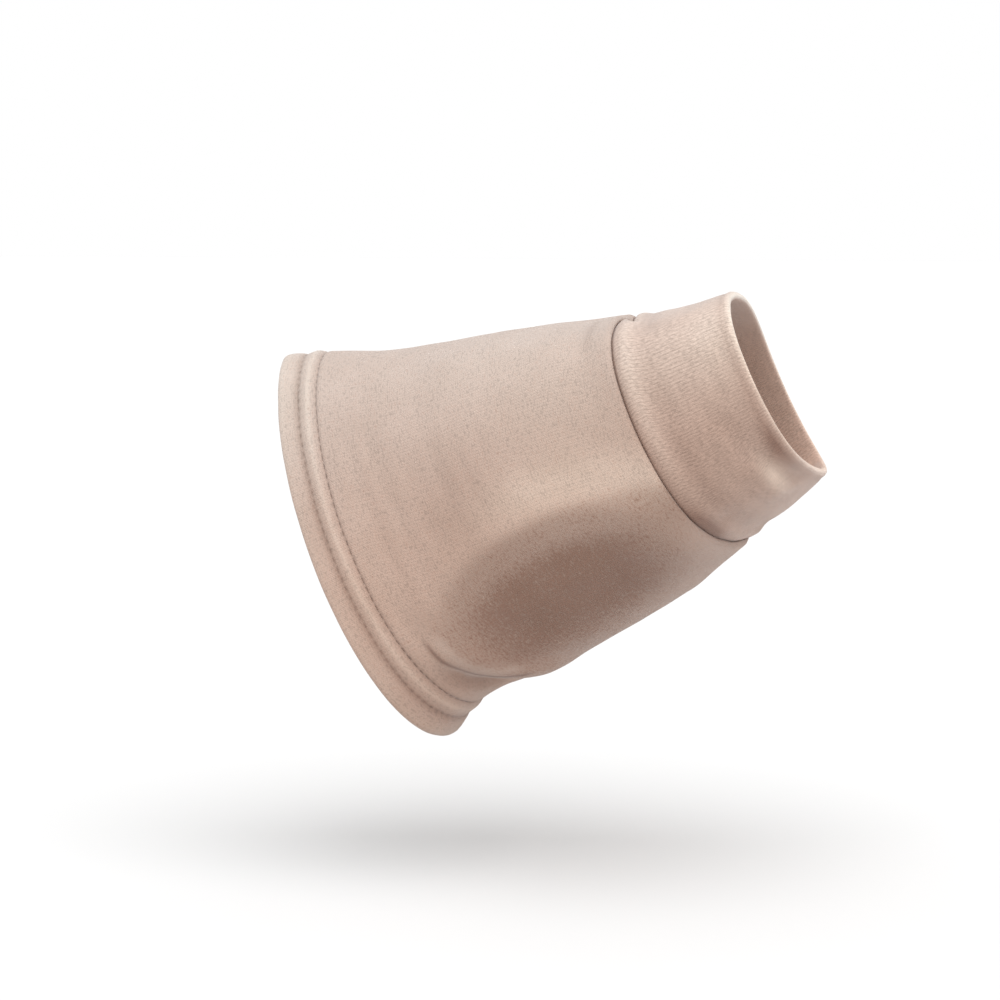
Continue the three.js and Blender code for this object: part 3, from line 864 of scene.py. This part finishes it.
def seam_loop_depth(length):
    """On the tube, then up over the band's raw edges."""
    over_edge = smooth(length, cuff_start - EDGE_SLOPE, cuff_start + 0.0002)
    on_band = CLOTH + CLEARANCE + 2 * CLOTH + 0.0006
    return mix(on_band - SEAM_EDGE_STEP, on_band, over_edge)


seam_row = stitch_row(SEAM_STITCHES, BODY_LENGTH + SEAM_THREAD, BODY_LENGTH, SEAM_THREAD_DEPTH,
                      SEAM_STITCH_DIVE)
seam_stitches = thread_piece("seam_stitches", seam_row, SEAM_THREAD, thread_look)
seam_loops = looping_threads(SEAM_STITCHES, SEAM_LOOP_LINE, cuff_start, SEAM_LOOP_SWING,
                             SEAM_LOOP_SWAY, SEAM_LOOP_THREAD, seam_loop_depth)
seam_looper = thread_piece("seam_looper", seam_loops, SEAM_LOOP_THREAD, thread_look)

# The arch pad. A lens of soft beige gel, thickest in the middle, with a thin round edge. It was
# moulded in one, and it lies against the tube's inner face, held by the stretch of the knit.
PAD_THICKNESS, PAD_EDGE, PAD_EASE = 0.0065, 0.0012, 0.0007
PAD_RINGS, PAD_SPOKES = 40, 140
EDGE_FROM = 0.93


def pad_spot(ring, spoke, depth):
    """A point of the pad: how far out, from 0 to 1, on which spoke, and how deep."""
    turn = spoke / PAD_SPOKES * 2 * np.pi
    length = PAD_PLACE + ring * PAD_LENGTH / 2 * np.cos(turn)
    tall, wide = half_sizes(length / SLEEVE_LENGTH)
    reach = ring * np.where(np.sin(turn) < 0, PAD_RISE, PAD_DROP) * np.sin(turn)
    return place(length, PAD_ANGLE + reach / ((tall + wide) / 2), depth)


ring = np.concatenate([np.linspace(0.02, 0.97, PAD_RINGS), [0.985, 0.995, 1.0]])
lens = PAD_EDGE + (PAD_THICKNESS - PAD_EDGE) * (1 - ring ** 2)
edge_round = PAD_EDGE / 2 * (1 - np.sqrt(1 - smooth(ring, EDGE_FROM, 1.0) ** 2))
profile_ring = np.concatenate([ring, ring[::-1]])[None, :]
profile_depth = CLOTH + PAD_EASE + np.concatenate([edge_round, (lens - edge_round)[::-1]])
spokes = np.arange(PAD_SPOKES)
pad_grid = pad_spot(profile_ring * np.ones((PAD_SPOKES, 1)), spokes[:, None], profile_depth[None, :])
rows = profile_ring.shape[1]
i, j = np.meshgrid(spokes, np.arange(rows - 1), indexing="ij")
onward = (i + 1) % PAD_SPOKES * rows
quads = np.stack([i * rows + j, onward + j, onward + j + 1, i * rows + j + 1], -1).reshape(-1, 4)
hubs = np.stack([pad_grid[:, 0].mean(axis=0), pad_grid[:, -1].mean(axis=0)])
hub = PAD_SPOKES * rows
after = (spokes + 1) % PAD_SPOKES
fans = [(hub, after[k] * rows, k * rows) for k in spokes]
fans += [(hub + 1, k * rows + rows - 1, after[k] * rows + rows - 1) for k in spokes]
pad_points = np.concatenate([pad_grid.reshape(-1, 3), hubs])
arch_pad = mesh_object("gel_pad", pad_points, quads.tolist() + fans)

# Milky gel: slightly cloudy, a little light passes into it, with a satin face full of fine pores
CLOUD_SCALE, PORE_SCALE, PORE_DEPTH = 90, 900, 0.0001
GEL_DARK, GEL_PALE = (0.52, 0.41, 0.34), (0.60, 0.48, 0.40)
GEL_LIGHT_REACH = (0.004, 0.002, 0.0012)
gel = bpy.data.materials.new("soft gel")
gel.use_nodes = True
tree = gel.node_tree
shader = tree.nodes["Principled BSDF"]
in_gel = wire(tree, "ShaderNodeTexCoord").outputs["Object"]
cloud = wire(tree, "ShaderNodeTexNoise", in_gel)
cloud.inputs["Scale"].default_value = CLOUD_SCALE
colour = ramp(tree, cloud.outputs["Fac"], (0.35, GEL_DARK), (0.65, GEL_PALE))
tree.links.new(colour, shader.inputs["Base Color"])
shader.inputs["Roughness"].default_value = 0.42
shader.inputs["Subsurface Weight"].default_value = 0.25
shader.inputs["Subsurface Radius"].default_value = GEL_LIGHT_REACH
pores = wire(tree, "ShaderNodeTexNoise", in_gel)
pores.inputs["Scale"].default_value = PORE_SCALE
relief = wire(tree, "ShaderNodeBump")
relief.inputs["Strength"].default_value = 0.25
relief.inputs["Distance"].default_value = PORE_DEPTH
tree.links.new(pores.outputs["Fac"], relief.inputs["Height"])
tree.links.new(relief.outputs["Normal"], shader.inputs["Normal"])
arch_pad.data.materials.append(gel)
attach(arch_pad, "root")
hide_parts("arch_pad")

# The floor: plain, pale and matt, some way below the sleeve
FLOOR_HEIGHT, FLOOR_REACH = -0.0895, 6
FLOOR_COLOUR = (0.64, 0.64, 0.64, 1)
floor_mesh = bpy.data.meshes.new("floor")
floor_corners = [(x * FLOOR_REACH, y * FLOOR_REACH, FLOOR_HEIGHT)
                 for x, y in ((-1, -1), (1, -1), (1, 1), (-1, 1))]
floor_mesh.from_pydata(floor_corners, [], [(0, 1, 2, 3)])
floor = bpy.data.objects.new("floor", floor_mesh)
bpy.context.collection.objects.link(floor)
floor_paint = bpy.data.materials.new("pale floor")
floor_paint.use_nodes = True
shader = floor_paint.node_tree.nodes["Principled BSDF"]
shader.inputs["Base Color"].default_value = FLOOR_COLOUR
shader.inputs["Roughness"].default_value = 1.0
shader.inputs["Specular IOR Level"].default_value = 0.0
floor_mesh.materials.append(floor_paint)

# Soft studio light: white all round, and a wide lamp above that leaves a soft shadow
LAMP_STRENGTH, LAMP_SPREAD = 2.32, math.radians(66)
LAMP_FROM = (0.22, -0.42, 0.9)
world = bpy.data.worlds.new("studio")
world.use_nodes = True
world.node_tree.nodes["Background"].inputs["Color"].default_value = (1, 1, 1, 1)
world.node_tree.nodes["Background"].inputs["Strength"].default_value = 1.0
bpy.context.scene.world = world
overhead = bpy.data.lights.new("overhead", "SUN")
overhead.energy = LAMP_STRENGTH
overhead.angle = LAMP_SPREAD
overhead_lamp = bpy.data.objects.new("overhead", overhead)
overhead_lamp.rotation_euler = Vector(LAMP_FROM).to_track_quat("Z", "Y").to_euler()
bpy.context.collection.objects.link(overhead_lamp)

# The camera, facing the padded side from a little above, turned slightly to the toe end
VIEW_AZIMUTH, VIEW_ELEVATION = math.radians(12), math.radians(6)
VIEW_DISTANCE, LENS, SENSOR = 0.75, 108, 36
ORIGIN_PIXEL, MIDDLE_PIXEL = (555, 515), 500
METRES_PER_PIXEL = 0.00025
back = Vector((math.sin(VIEW_AZIMUTH) * math.cos(VIEW_ELEVATION),
               -math.cos(VIEW_AZIMUTH) * math.cos(VIEW_ELEVATION), math.sin(VIEW_ELEVATION)))
right = Vector((math.cos(VIEW_AZIMUTH), math.sin(VIEW_AZIMUTH), 0))
up = right.cross(-back)
aim = (up * (ORIGIN_PIXEL[1] - MIDDLE_PIXEL)
       - right * (ORIGIN_PIXEL[0] - MIDDLE_PIXEL)) * METRES_PER_PIXEL
camera = bpy.data.objects.new("camera", bpy.data.cameras.new("camera"))
camera.data.lens = LENS
camera.data.sensor_width = SENSOR
camera.location = aim + back * VIEW_DISTANCE
camera.rotation_euler = (-back).to_track_quat("-Z", "Y").to_euler()
bpy.context.collection.objects.link(camera)
bpy.context.scene.camera = camera
bpy.context.scene.view_settings.view_transform = "Standard"
